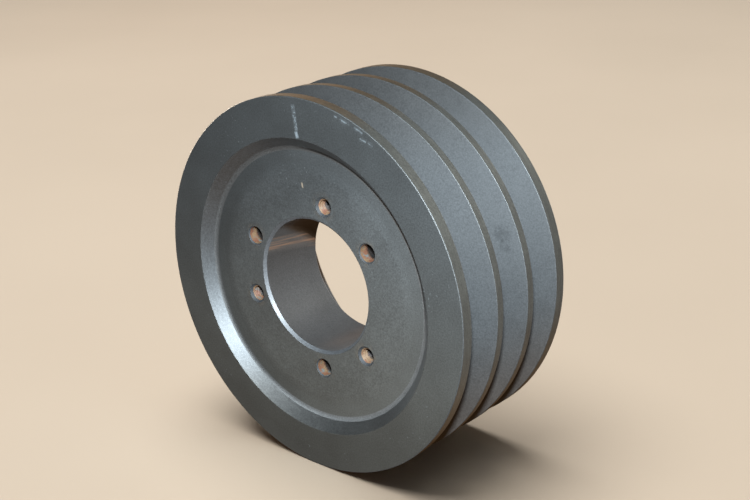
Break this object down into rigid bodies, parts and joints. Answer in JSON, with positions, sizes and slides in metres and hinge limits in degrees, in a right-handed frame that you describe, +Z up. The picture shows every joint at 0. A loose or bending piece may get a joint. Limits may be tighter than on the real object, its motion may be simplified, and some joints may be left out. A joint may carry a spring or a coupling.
{
  "type": "v belt pulley",
  "caption": "Wide V-belt sheave with deep belt grooves, a recessed solid web and a tapered hub bore ringed by screw holes for a quick-detachable bushing.",
  "frame": {"origin": "on the axis of rotation, at the middle of the rim's width", "axes": "+Y along the axis of rotation towards the open rear side, -Y out of the recessed front face, +Z up as it stands on its rim"},
  "size_m": [0.1512, 0.0636, 0.151],
  "materials": {
    "phosphated_iron": "turned grey iron with a dark phosphate finish, satin, lighter blue-grey in the grooves"
  },
  "bodies": {
    "root": {"sheave_body": "phosphated_iron"}
  },
  "joints": []
}
